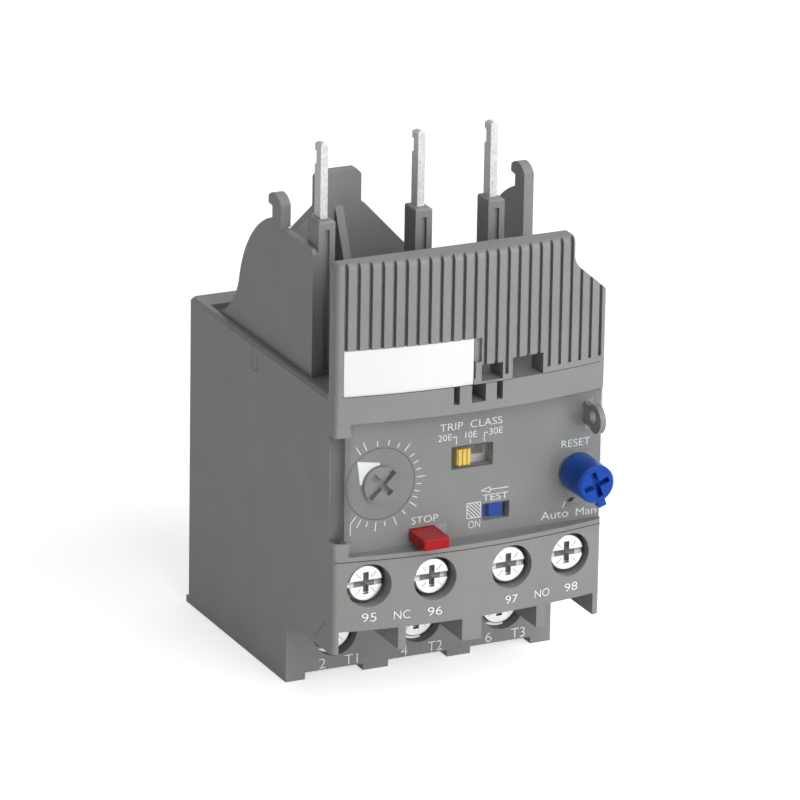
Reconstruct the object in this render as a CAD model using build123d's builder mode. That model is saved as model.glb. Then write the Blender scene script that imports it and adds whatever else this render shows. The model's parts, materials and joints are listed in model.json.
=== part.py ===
from build123d import *
import math
import os

os.makedirs("parts", exist_ok=True)

# Sizes are in millimetres. Names ending in _x run right from the middle, names ending in _f run
# back from the front side edges of the body, and names ending in _z run up from the feet.

# Body
body_width = 45.0
body_depth = 53.6
knob_reach = 5.75
rim_z = 50.5
rim_bevel = 0.5
side_wall = 1.35
back_wall = 1.4
rear_corner_radius = 1.2
foot_height = 1.1
outer_foot_widths = (3.26, 3.44)
inner_foot_spans_x = ((-9.48, -5.24), (4.8, 8.74))

# Clearances
running_gap = 0.05
slide_gap = 0.1
free_gap = 0.3

# Bowed front and its levels
bow_rise = 2.36
corner_radius = 1.0
parting_z = 24.97
ledge_height = 0.73
header_bottom_z = 46.78
header_top_z = 51.07
header_notches_x = ((-3.96, -2.98), (-1.02, 1.31), (3.14, 4.16))
header_notch_depth = 2.87
panel_f = 1.0
panel_thickness = 1.6

# Power terminals
power_front_f = 16.16
power_pitch = 14.2
power_screw_z = 6.8
power_screw_hole_radius = 3.65
power_front_wall = 1.84
power_chamber_width = 8.4
power_chamber_depth = 13.5
power_chamber_top_z = 11.5
power_head_radius = 3.15
power_head_height = 2.24
power_head_recess = 1.2
power_shank_radius = 1.75
power_plate_width = 8.0
power_plate_bottom_z = 3.0
power_wire_space = 4.4
power_clamp_size = (7.8, 2.5, 6.8)

# Auxiliary terminals
aux_bottom_z = 13.84
aux_blade_bottom_z = 10.3
outer_blade_widths = (1.1, 1.3)
inner_blade_spans_x = ((-12.2, -11.0), (-1.85, 1.4), (10.9, 12.45))
aux_names = ("95", "96", "97", "98")
aux_screw_x = (-16.8, -6.4, 6.4, 16.8)
aux_screw_z = 20.95
aux_hole_radius = 3.45
aux_roof_thickness = 1.37
aux_chamber_depth = 10.6
aux_head_radius = 2.9
aux_head_height = 1.8
aux_head_recess = 1.3
aux_shank_radius = 1.5
aux_bar_width = 7.6
aux_bar_height = 7.1
aux_wire_space = 4.4
aux_clamp_size = (7.2, 2.0, 5.0)

# Contact strips: left and right edge of each tongue, depth of its back end, x of its contact face
strip_thickness = 0.8
tongue_spans_x = ((-16.0, -13.6), (-8.6, -6.2), (6.0, 8.4), (13.6, 16.0))
front_tab_f = (9.6, 11.4)
rear_tab_f = (14.2, 16.0)
tab_height = 3.7
nc_tab_x = -10.0
no_tab_x = 9.0
contact_z = 27.6
contact_radius = 0.8
contact_height = 0.4
trip_travel = 1.5

# Current path
copper_thickness = 2.0
copper_width = 3.0
pin_x = (-18.85, -2.88, 9.17)
pin_width = 1.17
pin_spans_f = (12.4, 14.55)
pin_top_z = 86.5
pin_notch_z = (82.95, 85.1)
pin_notch_depth = 0.55
strap_z = 44.5
leg_f = 26.0
conductor_plate_thickness = 1.5

# Current transformers
ct_width = 12.4
ct_front_f = 22.5
ct_back_f = 38.0
ct_bottom_z = 27.0
ct_height = 6.0
ct_limb = 2.6
ct_coil_build = 2.2
ct_coil_width = 6.8
carrier_top_z = 24.6
carrier_thickness = 1.6
housing_floor_z = 15.0

# Top cover
deck_z = 48.9
deck_thickness = 1.5
front_deck_z = 50.6
deck_step_f = 11.15
lip_width = 3.9
wing_edge_gap = 0.02
wing_thickness = 1.2
wing_top_z = 70.6
right_wing_front_top_z = 64.0
wing_corner = 0.7
wing_foot_f = 45.4
wing_foot_height = 1.6
wing_curve = ((33.2, 66.6), (37.8, 57.7), (39.9, 54.0))
hook_thickness = 1.62
hook_front_f = 22.65
hook_neck_depth = 3.15
hook_neck_rise = 0.8
hook_rise = 4.8
hook_crown_depth = 2.25
hook_crown_drop = 1.3
hook_reach = 4.55
hook_tip_drop = 0.9
hook_tip_height = 1.15
hook_tip_slope = 0.15
post_spans_x = ((-20.24, -17.51), (-4.29, -1.53), (7.82, 10.5))
post_back_f = 15.0
post_top_z = 74.85
post_groove = (0.9, 0.5)
post_rounding = 0.4
tongue_f = 24.3
tongue_thickness = 1.8
tongue_x = (-14.4, -7.1)
tongue_top_z = 77.9
tongue_shoulder_z = 72.4
tongue_left_edge_z = 67.5
tongue_right_x = 3.5
tongue_right_edge_z = 61.75
gusset_x = -10.8
gusset_width = 1.3
gusset_depth = 10.6

# Grille shroud and label
shroud_top_z = 71.8
shroud_back_f = 2.1
groove_edge_gap = 1.584
groove_pitch = 1.834
groove_count = 24
groove_width = 0.58
groove_depth = 0.8
groove_bottom_z = 52.0
label_edge_gap = 1.4
label_width = 20.4
label_top_z = 58.3
label_pocket_depth = 0.8
label_thickness = 0.6
label_notch = (1.2, 54.5, 0.6)
left_port = ((0.55, 4.1), (51.4, 54.0))
right_port = ((5.76, 11.06), 54.4)
shroud_hollow_f = 0.9
shroud_hollow = ((-19.0, 15.0), (59.0, 70.4))
shroud_cut_x = (16.3, 16.5, 17.23)
shroud_cut_z = (69.3, 67.9, 66.81)
shroud_side_top_z = 62.3

# Window cover and its hinge
hinge_f = 1.0
barrel_radius = 1.1
barrel_pocket_gap = 0.12
stub_radius = 0.45
stub_length = 1.0
window_thickness = 0.9
window_root = 1.9
window_top_gap = 0.13
lower_tab_height = 2.2
upper_tab_height = 2.08
tab_reach = 1.3
tab_corner = 0.8
knob_cutout_radius = 3.75
nub_cutout = (2.3, 2.7, 4.6)
eyelet_cutout_z = (40.3, 45.5)
stop_cutout_gap = (1.2, 0.9, 1.5)

# Seal eyelet
eyelet_edge_gap = 3.1
eyelet_thickness = 0.9
eyelet_centre = (-2.7, 42.9)
eyelet_radius = 2.2
eyelet_hole = (-2.2, 43.1)
eyelet_hole_radius = 1.0

# Stop button
stop_x = (-9.4, -5.2)
stop_z = (26.45, 28.2)
stop_front_f = -4.4
stop_travel = 2.0
stop_stem_radius = 0.8
stop_guide_f = 8.0

# Reset knob and plunger
knob_edge_gap = 3.9
knob_z = 33.55
knob_radius = 3.0
knob_back_f = 0.7
reset_travel = 1.8
plunger_radius = 1.4
plunger_back_f = 11.0
reset_guide_f = 8.3

collar_thickness = 1.0
collar_lip = 0.5
reset_collar_width = 4.6
reset_collar_reach = 3.6
guide_wall = 0.8

# Setting dial
dial_x = -14.33
dial_z = 36.16
dial_radius = 5.6
dial_hub_radius = 2.9
dial_hub_height = 0.7
dial_flange = 0.7
dial_shaft_radius = 1.5
dial_shaft_end_f = 7.4

# Class selector and test slider
class_slot_x = (-2.45, 4.24)
class_slot_z = (36.8, 40.15)
class_slider_x = (-1.45, 0.8)
class_travel = (-1.0, 3.4)
selector_plate = 0.8
test_window_x = (2.75, 7.3)
test_window_z = (27.8, 30.5)
test_slider_x = (0.3, 6.63)

# Circuit board
board_front_f = 8.0
board_thickness = 1.6
board_edge_gap = 0.65
board_right_x = 14.0
board_z = (31.8, 47.2)
standoff_radius = 1.2
standoff_inset = 1.5
standoff_rise = (1.4, 13.0)

# Trip slide, its frame and the trip magnet
slide_bar_edge_gaps = (2.15, 1.35)
slide_bar_f = (11.0, 13.5)
slide_bar_z = (28.9, 30.7)
frame_leg_edge_gap = 2.75
frame_leg_width = 1.8
frame_f = (10.0, 16.4)
frame_roof = 1.0
magnet_f = 14.6
magnet_z = 38.0
magnet_coil_radius = 3.4
magnet_plunger_radius = 1.6
magnet_half_width = 7.0
magnet_sheet = 1.4

# Worked out from the sizes above
half_width = body_width / 2
inner_x = half_width - side_wall
front_y = (knob_reach - body_depth) / 2
foot_spans_x = (
    (-half_width, outer_foot_widths[0] - half_width),
    *inner_foot_spans_x,
    (half_width - outer_foot_widths[1], half_width),
)
aux_blade_spans_x = (
    (-half_width, outer_blade_widths[0] - half_width),
    *inner_blade_spans_x,
    (half_width - outer_blade_widths[1], half_width),
)
lip_f = body_depth - back_wall - lip_width
wing_outer_x = inner_x - wing_edge_gap
groove_first_x = groove_edge_gap - half_width
label_x = (label_edge_gap - half_width, label_edge_gap + label_width - half_width)
hinge_x = barrel_radius - half_width
window_left_x = hinge_x + window_root
tab_right_x = hinge_x + tab_reach
eyelet_x = half_width - eyelet_edge_gap
knob_x = half_width - knob_edge_gap
board_x = (board_edge_gap - inner_x, board_right_x)
slide_bar_x = (slide_bar_edge_gaps[0] - inner_x, inner_x - slide_bar_edge_gaps[1])
frame_leg_x = (inner_x - frame_leg_edge_gap - frame_leg_width, inner_x - frame_leg_edge_gap)
bow_radius = (half_width**2 + bow_rise**2) / (2 * bow_rise)
bow_centre_f = bow_radius - bow_rise
seam_f = panel_f + panel_thickness
panel_bottom_z = parting_z + ledge_height
collar_back_f = seam_f + collar_thickness
power_x = (-power_pitch, 0.0, power_pitch)
power_chamber_f = power_front_f + power_front_wall
power_head_f = power_front_f + power_head_recess
power_plate_f = power_head_f + power_head_height + free_gap
power_plate_back_f = power_plate_f + conductor_plate_thickness
power_clamp_f = power_plate_back_f + power_wire_space
aux_bar_f = seam_f + 2 * free_gap
aux_clamp_f = aux_bar_f + strip_thickness + aux_wire_space
aux_roof_z = parting_z - aux_roof_thickness
aux_chamber_back_f = seam_f + aux_chamber_depth
pin_mid_f = sum(pin_spans_f) / 2
leg_back_f = leg_f + copper_thickness
deck_bottom_z = deck_z - deck_thickness
window_bottom_z = panel_bottom_z + slide_gap
window_top_z = header_bottom_z - window_top_gap
lower_tab_top_z = panel_bottom_z + lower_tab_height
upper_tab_bottom_z = header_bottom_z - upper_tab_height
hook_top_z = wing_top_z + hook_rise


def at(depth):
    """Y of a depth behind the front side edges."""
    return front_y + depth


def bow_f(x, inset=0.0):
    """Depth of the bowed face, or of a face set in behind it, at x."""
    return bow_centre_f - math.sqrt((bow_radius - inset) ** 2 - x**2)


def bow_point(x, inset=0.0):
    """Plan point on the bowed face."""
    return (x, at(bow_f(x, inset)))


def facing(depth):
    """Sketch plane in x and z that looks to the front from a depth."""
    return Plane.XZ.offset(-at(depth))


def block(x_span, f_span, z_span, mode=Mode.ADD):
    """Box between the given limits, in the part being built."""
    middle = (sum(x_span) / 2, at(sum(f_span) / 2), sum(z_span) / 2)
    with Locations(middle):
        Box(x_span[1] - x_span[0], f_span[1] - f_span[0], z_span[1] - z_span[0], mode=mode)


def rod_x(f, z, x_span, radius, mode=Mode.ADD):
    """Round bar along x, in the part being built."""
    with Locations((sum(x_span) / 2, at(f), z)):
        Cylinder(radius, x_span[1] - x_span[0], rotation=(0, 90, 0), mode=mode)


def rod_y(x, z, f_span, radius, mode=Mode.ADD):
    """Round bar from front to back, in the part being built."""
    with Locations((x, at(sum(f_span) / 2), z)):
        Cylinder(radius, f_span[1] - f_span[0], rotation=(90, 0, 0), mode=mode)


def rod_z(x, f, z_span, radius, mode=Mode.ADD):
    """Upright round bar, in the part being built."""
    with Locations((x, at(f), sum(z_span) / 2)):
        Cylinder(radius, z_span[1] - z_span[0], mode=mode)


def bowed_slab(x_span, back_f, z_span, corner=corner_radius):
    """Slab with the bowed front, a flat back and rounded outer corners."""
    left_x, right_x = x_span
    with BuildPart() as slab:
        with BuildSketch(Plane.XY.offset(z_span[0])):
            with BuildLine():
                ThreePointArc(bow_point(left_x), bow_point((left_x + right_x) / 2), bow_point(right_x))
                Polyline(bow_point(right_x), (right_x, at(back_f)), (left_x, at(back_f)), bow_point(left_x))
            make_face()
        extrude(amount=z_span[1] - z_span[0])
        upright = slab.edges().filter_by(Axis.Z)
        outer = [e for e in upright if abs(e.center().X) > half_width - 0.01 and e.center().Y < at(0.01)]
        if outer:
            fillet(outer, corner)
    return slab.part


def bowed_skin(x_span, z_span, outer_inset, inner_inset):
    """Curved sheet between two faces set in behind the bowed front."""
    left_x, right_x = x_span
    middle_x = (left_x + right_x) / 2
    outer = [bow_point(x, outer_inset) for x in (left_x, middle_x, right_x)]
    inner = [bow_point(x, inner_inset) for x in (right_x, middle_x, left_x)]
    with BuildPart() as skin:
        with BuildSketch(Plane.XY.offset(z_span[0])):
            with BuildLine():
                ThreePointArc(*outer)
                Line(outer[2], inner[0])
                ThreePointArc(*inner)
                Line(inner[2], outer[0])
            make_face()
        extrude(amount=z_span[1] - z_span[0])
    return skin.part


# Housing: power block with its chambers below, open shell with side and back walls above
with BuildPart() as housing:
    block((-half_width, half_width), (power_front_f, body_depth), (foot_height, rim_z))
    rear_corners = housing.edges().filter_by(Axis.Z).group_by(Axis.Y)[-1]
    fillet(rear_corners, rear_corner_radius)
    block((-half_width, half_width), (seam_f, power_front_f), (parting_z, rim_z))
    top_edges = housing.faces().sort_by(Axis.Z)[-1].edges()
    side_edges = [e for e in top_edges if abs(e.center().X) > half_width - 0.01]
    chamfer(side_edges, rim_bevel)
    hollow_x = (-inner_x, inner_x)
    hollow_front_f = power_front_f + side_wall
    block(hollow_x, (hollow_front_f, body_depth - back_wall), (housing_floor_z, rim_z), Mode.SUBTRACT)
    block(hollow_x, (seam_f, hollow_front_f), (parting_z, rim_z), Mode.SUBTRACT)
    for span in foot_spans_x:
        block(span, (power_front_f, body_depth), (0, foot_height))
    for x in power_x:
        chamber_x = (x - power_chamber_width / 2, x + power_chamber_width / 2)
        chamber_f = (power_chamber_f, power_chamber_f + power_chamber_depth)
        block(chamber_x, chamber_f, (foot_height, power_chamber_top_z), Mode.SUBTRACT)
        rod_y(x, power_screw_z, (power_front_f, power_chamber_f), power_screw_hole_radius, Mode.SUBTRACT)
        copper_x = (x - copper_width / 2, x + copper_width / 2)
        copper_z = (power_chamber_top_z, power_chamber_top_z + copper_thickness)
        block(copper_x, (power_plate_f, leg_back_f), copper_z, Mode.SUBTRACT)
        block(copper_x, (leg_f, leg_back_f), (copper_z[1], housing_floor_z), Mode.SUBTRACT)
        pocket_f = (chamber_f[1] + 2 * side_wall, body_depth - 2 * back_wall)
        block(chamber_x, pocket_f, (foot_height, housing_floor_z - 2 * side_wall), Mode.SUBTRACT)
    for side in (-1, 1):
        ledge_x = sorted((side * inner_x, side * (inner_x - 1.1)))
        ledge_z = (housing_floor_z, carrier_top_z - carrier_thickness)
        block(ledge_x, (ct_front_f, ct_back_f), ledge_z)
housing.part.label = "housing"
export_step(housing.part, "parts/housing.step")


# Top cover: deck, hooked wings, pin posts and the locating tongue with its gusset
def wing(side, front_top_z):
    """Side wing with its rounded back edge and the thicker hook at the top."""
    outer_x = side * wing_outer_x
    neck_y = at(hook_front_f + hook_neck_depth)
    tip_y = at(hook_front_f + hook_reach)
    neck = (neck_y, wing_top_z + hook_neck_rise)
    shoulder = (at(hook_front_f), hook_top_z - hook_crown_drop)
    crown = (at(hook_front_f + hook_crown_depth), hook_top_z)
    tip_top = (tip_y, hook_top_z - hook_tip_drop)
    tip_bottom_z = tip_top[1] - hook_tip_height
    curve_1, curve_2, curve_3 = [(at(f), z) for f, z in wing_curve]
    foot_top = (at(wing_foot_f), deck_z + wing_foot_height)
    foot = (at(wing_foot_f), deck_z)
    with BuildPart() as plate:
        with BuildSketch(Plane.YZ.offset(outer_x)):
            with BuildLine():
                Polyline(
                    foot,
                    (at(deck_step_f), deck_z),
                    (at(deck_step_f), front_top_z - wing_corner),
                    (at(deck_step_f + wing_corner), front_top_z),
                    (at(hook_front_f), front_top_z),
                    shoulder,
                )
                ThreePointArc(shoulder, crown, tip_top)
                Polyline(tip_top, (tip_y, tip_bottom_z), (neck_y, tip_bottom_z - hook_tip_slope), neck)
                ThreePointArc(neck, curve_1, curve_2)
                ThreePointArc(curve_2, curve_3, foot_top)
                Line(foot_top, foot)
            make_face()
        extrude(amount=-side * wing_thickness)
        with BuildSketch(Plane.YZ.offset(outer_x)):
            with BuildLine():
                Polyline(neck, (neck_y, front_top_z), (at(hook_front_f), front_top_z), shoulder)
                ThreePointArc(shoulder, crown, tip_top)
                Polyline(tip_top, (tip_y, tip_bottom_z), (neck_y, tip_bottom_z - hook_tip_slope), neck)
            make_face()
        extrude(amount=-side * hook_thickness)
    return plate.part


with BuildPart() as top_cover:
    block((-inner_x, inner_x), (seam_f, body_depth - back_wall), (deck_bottom_z, deck_z))
    block((-inner_x, inner_x), (seam_f, deck_step_f), (deck_z, front_deck_z))
    block((-inner_x, inner_x), (lip_f, body_depth - back_wall), (deck_z, rim_z))
    add(wing(-1, wing_top_z))
    add(wing(1, right_wing_front_top_z))
    for span in post_spans_x:
        block(span, (deck_step_f, post_back_f), (deck_z, post_top_z))
        middle_x = sum(span) / 2
        groove_x = (middle_x - post_groove[0] / 2, middle_x + post_groove[0] / 2)
        groove_f = (deck_step_f, deck_step_f + post_groove[1])
        block(groove_x, groove_f, (front_deck_z + 1.0, post_top_z - 1.4), Mode.SUBTRACT)
    post_tops = top_cover.faces().filter_by(Axis.Z).group_by(Axis.Z)[-1]
    fillet(post_tops.edges(), post_rounding)
    for x in pin_x:
        slot_x = (x - pin_width / 2, x + pin_width / 2)
        block(slot_x, pin_spans_f, (deck_bottom_z, post_top_z), Mode.SUBTRACT)
    wing_inner_x = wing_outer_x - wing_thickness
    with BuildSketch(facing(tongue_f)):
        with BuildLine():
            Polyline(
                (-wing_inner_x, deck_z),
                (-wing_inner_x, tongue_left_edge_z),
                (tongue_x[0], tongue_shoulder_z),
                (tongue_x[0], tongue_top_z - 0.8),
                (tongue_x[0] + 0.8, tongue_top_z),
                (tongue_x[1] - 0.8, tongue_top_z),
                (tongue_x[1], tongue_top_z - 0.8),
                (tongue_x[1], tongue_shoulder_z),
                (tongue_x[1] + 0.5, tongue_shoulder_z),
                (tongue_right_x, tongue_right_edge_z),
                (tongue_right_x, deck_z),
                close=True,
            )
        make_face()
    extrude(amount=-tongue_thickness)
    with BuildSketch(Plane.YZ.offset(gusset_x - gusset_width / 2)):
        with BuildLine():
            Polyline(
                (at(tongue_f), deck_z),
                (at(tongue_f), tongue_shoulder_z),
                (at(tongue_f - gusset_depth), deck_z),
                close=True,
            )
        make_face()
    extrude(amount=gusset_width)
top_cover.part.label = "top_cover"
export_step(top_cover.part, "parts/top_cover.step")


# Front cover: header strip, ledge, flat panel with its openings, hinge tabs, seal eyelet and guides
def guide_box(x_span, z_span, inner_x_span, inner_z_span, back_f, hole_x, hole_z, hole_radius):
    """Two walls and a pierced back behind the panel, open on the other two sides."""
    back_span = (back_f, back_f + guide_wall)
    with BuildPart() as guide:
        block(x_span, (seam_f, back_span[1]), z_span)
        block(inner_x_span, (seam_f, back_f), inner_z_span, Mode.SUBTRACT)
        rod_y(hole_x, hole_z, back_span, hole_radius, Mode.SUBTRACT)
    return guide.part


stop_mid_x = sum(stop_x) / 2
stop_mid_z = sum(stop_z) / 2
with BuildPart() as front_cover:
    add(bowed_slab((-half_width, half_width), seam_f, (header_bottom_z, header_top_z)))
    add(bowed_slab((-half_width, half_width), seam_f, (parting_z, panel_bottom_z)))
    block((-half_width, half_width), (panel_f, seam_f), (panel_bottom_z, header_bottom_z))
    for tab_z in ((panel_bottom_z, lower_tab_top_z), (upper_tab_bottom_z, header_bottom_z)):
        add(bowed_slab((-half_width, tab_right_x), panel_f, tab_z, corner=tab_corner))
    pocket_radius = barrel_radius + barrel_pocket_gap
    rod_z(hinge_x, hinge_f, (lower_tab_top_z, upper_tab_bottom_z), pocket_radius, Mode.SUBTRACT)
    stub_z = (lower_tab_top_z - stub_length - slide_gap, upper_tab_bottom_z + stub_length + slide_gap)
    rod_z(hinge_x, hinge_f, stub_z, stub_radius + running_gap, Mode.SUBTRACT)
    notch_z = (header_top_z - header_notch_depth, header_top_z)
    for notch_x in header_notches_x:
        block(notch_x, (-bow_rise - 1.0, shroud_back_f), notch_z, Mode.SUBTRACT)
    with BuildSketch(Plane.YZ.offset(eyelet_x)):
        with Locations((at(eyelet_centre[0]), eyelet_centre[1])):
            Circle(eyelet_radius)
        root_f = (eyelet_centre[0] + panel_f) / 2
        with Locations((at(root_f), eyelet_centre[1])):
            Rectangle(panel_f - eyelet_centre[0], 1.5 * eyelet_radius)
        with Locations((at(eyelet_hole[0]), eyelet_hole[1])):
            Circle(eyelet_hole_radius, mode=Mode.SUBTRACT)
    extrude(amount=eyelet_thickness)
    panel_span = (panel_f, seam_f)
    rod_y(knob_x, knob_z, panel_span, knob_radius + running_gap, Mode.SUBTRACT)
    rod_y(dial_x, dial_z, panel_span, dial_radius + running_gap, Mode.SUBTRACT)
    stop_open_x = (stop_x[0] - slide_gap, stop_x[1] + slide_gap)
    stop_open_z = (stop_z[0] - slide_gap, stop_z[1] + slide_gap)
    block(stop_open_x, panel_span, stop_open_z, Mode.SUBTRACT)
    block(class_slot_x, panel_span, class_slot_z, Mode.SUBTRACT)
    block(test_window_x, panel_span, test_window_z, Mode.SUBTRACT)
    stop_inner_x = (stop_x[0] - collar_lip - slide_gap, stop_x[1] + collar_lip + slide_gap)
    stop_outer_x = (stop_inner_x[0] - guide_wall, stop_inner_x[1] + guide_wall)
    stop_guide_z = (parting_z + 1.1, parting_z + 5.1)
    stop_hole_radius = stop_stem_radius + running_gap
    add(
        guide_box(
            stop_outer_x, stop_guide_z, stop_inner_x, stop_guide_z,
            stop_guide_f, stop_mid_x, stop_mid_z, stop_hole_radius,
        )
    )
    reset_guide_x = (knob_x - reset_collar_width / 2, knob_x + reset_collar_width / 2)
    reset_inner_z = (knob_z - reset_collar_reach - slide_gap, knob_z + reset_collar_reach + slide_gap)
    reset_outer_z = (reset_inner_z[0] - guide_wall, reset_inner_z[1] + guide_wall)
    plunger_hole_radius = plunger_radius + running_gap
    add(
        guide_box(
            reset_guide_x, reset_outer_z, reset_guide_x, reset_inner_z,
            reset_guide_f, knob_x, knob_z, plunger_hole_radius,
        )
    )
    standoff_right_x = board_x[1] - standoff_inset
    standoff_low_z, standoff_high_z = [board_z[0] + rise for rise in standoff_rise]
    for standoff in (
        (board_x[0] + standoff_inset, standoff_high_z),
        (standoff_right_x, standoff_high_z),
        (standoff_right_x, standoff_low_z),
    ):
        rod_y(*standoff, (seam_f, board_front_f), standoff_radius)
front_cover.part.label = "front_cover"
export_step(front_cover.part, "parts/front_cover.step")

# Grille shroud with its grooves, label pocket and lower openings
groove_xs = [groove_first_x + i * groove_pitch for i in range(groove_count)]
shroud_x = (-half_width, half_width)
with BuildPart() as grille_shroud:
    add(bowed_slab(shroud_x, shroud_back_f, (header_top_z, shroud_top_z)))
    with BuildSketch(facing(-3.0)):
        with BuildLine():
            cut = list(zip(shroud_cut_x, shroud_cut_z))
            cut_top = (shroud_cut_x[0], shroud_top_z)
            Line(cut_top, cut[0])
            ThreePointArc(*cut)
            Polyline(cut[2], (half_width, shroud_side_top_z), (half_width, shroud_top_z), cut_top)
        make_face()
    extrude(amount=-6.0, mode=Mode.SUBTRACT)
    top_left = grille_shroud.edges().filter_by(Axis.Y).group_by(Axis.X)[0].sort_by(Axis.Z)[-1]
    fillet(top_left, corner_radius)
    with BuildSketch(Plane.XY.offset(groove_bottom_z)):
        for x in groove_xs:
            with Locations((x, at(bow_f(x) + groove_depth - 1.0))):
                Rectangle(groove_width, 2.0)
    extrude(amount=shroud_top_z - groove_bottom_z, mode=Mode.SUBTRACT)
    add(bowed_skin(label_x, (header_top_z, label_top_z), 0, label_pocket_depth + 0.5))
    add(bowed_skin(label_x, (header_top_z, label_top_z), -0.5, label_pocket_depth), mode=Mode.SUBTRACT)
    label_notch_x = (label_x[1], label_x[1] + label_notch[0])
    add(bowed_skin(label_notch_x, (label_notch[1], label_top_z), -0.5, label_notch[2]), mode=Mode.SUBTRACT)
    port_f = (-bow_rise - 1.0, shroud_back_f)
    block(left_port[0], port_f, left_port[1], Mode.SUBTRACT)
    block(right_port[0], port_f, (header_top_z, right_port[1]), Mode.SUBTRACT)
    block(shroud_hollow[0], (shroud_hollow_f, shroud_back_f), shroud_hollow[1], Mode.SUBTRACT)
grille_shroud.part.label = "grille_shroud"
export_step(grille_shroud.part, "parts/grille_shroud.step")

# Label plate in its pocket
with BuildPart() as label_plate:
    plate_x = (label_x[0] + running_gap, label_x[1] - running_gap)
    plate_z = (header_top_z, label_top_z - running_gap)
    add(bowed_skin(plate_x, plate_z, label_pocket_depth - label_thickness, label_pocket_depth))
label_plate.part.label = "label_plate"
export_step(label_plate.part, "parts/label_plate.step")

# Auxiliary terminal block: bowed front, wire chambers between the separating blades
aux_chambers_x = [
    (left[1], right[0]) for left, right in zip(aux_blade_spans_x[:-1], aux_blade_spans_x[1:])
]
with BuildPart() as aux_block:
    add(bowed_slab((-half_width, half_width), power_front_f, (aux_bottom_z, parting_z)))
    for span in aux_blade_spans_x:
        add(bowed_slab(span, power_front_f, (aux_blade_bottom_z, aux_bottom_z)))
    for span, x, tongue in zip(aux_chambers_x, aux_screw_x, tongue_spans_x):
        block(span, (seam_f, aux_chamber_back_f), (aux_blade_bottom_z, aux_roof_z), Mode.SUBTRACT)
        rod_y(x, aux_screw_z, (-3.0, seam_f), aux_hole_radius, Mode.SUBTRACT)
        block(tongue, (aux_bar_f, aux_bar_f + strip_thickness), (aux_roof_z, parting_z), Mode.SUBTRACT)
aux_block.part.label = "aux_terminal_block"
export_step(aux_block.part, "parts/aux_terminal_block.step")


# Auxiliary contact strips: terminal bar, tongue along the floor, upright tab with its contact
def contact_strip(screw_x, tongue, tab_f, tab_x, contact_side):
    """Strip from the terminal bar to the upright contact tab."""
    bar_x = (screw_x - aux_bar_width / 2, screw_x + aux_bar_width / 2)
    floor_z = (parting_z, parting_z + strip_thickness)
    tab_span_x = sorted((tab_x, tab_x - contact_side * strip_thickness))
    run_x = (min(tongue[0], tab_span_x[0]), max(tongue[1], tab_span_x[1]))
    contact_x = sorted((tab_x, tab_x + contact_side * contact_height))
    with BuildPart() as strip:
        bar_f = (aux_bar_f, aux_bar_f + strip_thickness)
        block(bar_x, bar_f, (aux_roof_z - aux_bar_height, aux_roof_z))
        block(tongue, bar_f, (aux_roof_z, floor_z[1]))
        block(tongue, (aux_bar_f, tab_f[1]), floor_z)
        block(run_x, tab_f, floor_z)
        block(tab_span_x, tab_f, (parting_z, parting_z + tab_height))
        rod_x(sum(tab_f) / 2, contact_z, contact_x, contact_radius)
        rod_y(screw_x, aux_screw_z, bar_f, aux_shank_radius + running_gap, Mode.SUBTRACT)
    return strip.part


nc_face_x = nc_tab_x - strip_thickness
no_face_x = no_tab_x + strip_thickness
strip_ends = (
    (front_tab_f, nc_face_x, -1),
    (rear_tab_f, nc_face_x, -1),
    (front_tab_f, no_face_x, 1),
    (rear_tab_f, no_face_x, 1),
)
for name, x, tongue, (tab_f, face_x, side) in zip(aux_names, aux_screw_x, tongue_spans_x, strip_ends):
    strip = contact_strip(x, tongue, tab_f, face_x, side)
    strip.label = f"contact_strip_{name}"
    export_step(strip, f"parts/contact_strip_{name}.step")


# Terminal screws and their clamp plates
def slotted_screw(x, z, head_f, head_radius, head_height, shank_radius, shank_end_f, slot_angle):
    """Flat head with a full slot crossed by a short one, on a plain shank."""
    slot_width = 0.32 * head_radius
    slot_depth = 0.4 * head_height
    with BuildPart() as screw:
        rod_y(x, z, (head_f, head_f + head_height), head_radius)
        rim = screw.faces().sort_by(Axis.Y)[0].edges()
        chamfer(rim, 0.2)
        rod_y(x, z, (head_f + head_height, shank_end_f), shank_radius)
        with BuildSketch(facing(head_f)):
            with Locations(Location((x, z), slot_angle)):
                Rectangle(2 * head_radius + 1.0, slot_width)
                Rectangle(slot_width, 1.2 * head_radius)
        extrude(amount=-slot_depth, mode=Mode.SUBTRACT)
    return screw.part


def clamp_plate(x, z, front_f, size, hole_radius):
    """Square nut plate that the screw draws forward."""
    width, depth, height = size
    with BuildPart() as plate:
        block((x - width / 2, x + width / 2), (front_f, front_f + depth), (z - height / 2, z + height / 2))
        rod_y(x, z, (front_f, front_f + depth), hole_radius, Mode.SUBTRACT)
    return plate.part


aux_slot_angles = (0, 0, 0, 0)
for name, x, angle in zip(aux_names, aux_screw_x, aux_slot_angles):
    head_f = bow_f(x) + aux_head_recess
    shank_end_f = aux_chamber_back_f - free_gap
    screw = slotted_screw(
        x, aux_screw_z, head_f, aux_head_radius, aux_head_height, aux_shank_radius, shank_end_f, angle
    )
    screw.label = f"aux_screw_{name}"
    export_step(screw, f"parts/aux_screw_{name}.step")
    clamp = clamp_plate(x, aux_screw_z, aux_clamp_f, aux_clamp_size, aux_shank_radius + running_gap)
    clamp.label = f"aux_clamp_{name}"
    export_step(clamp, f"parts/aux_clamp_{name}.step")

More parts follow.
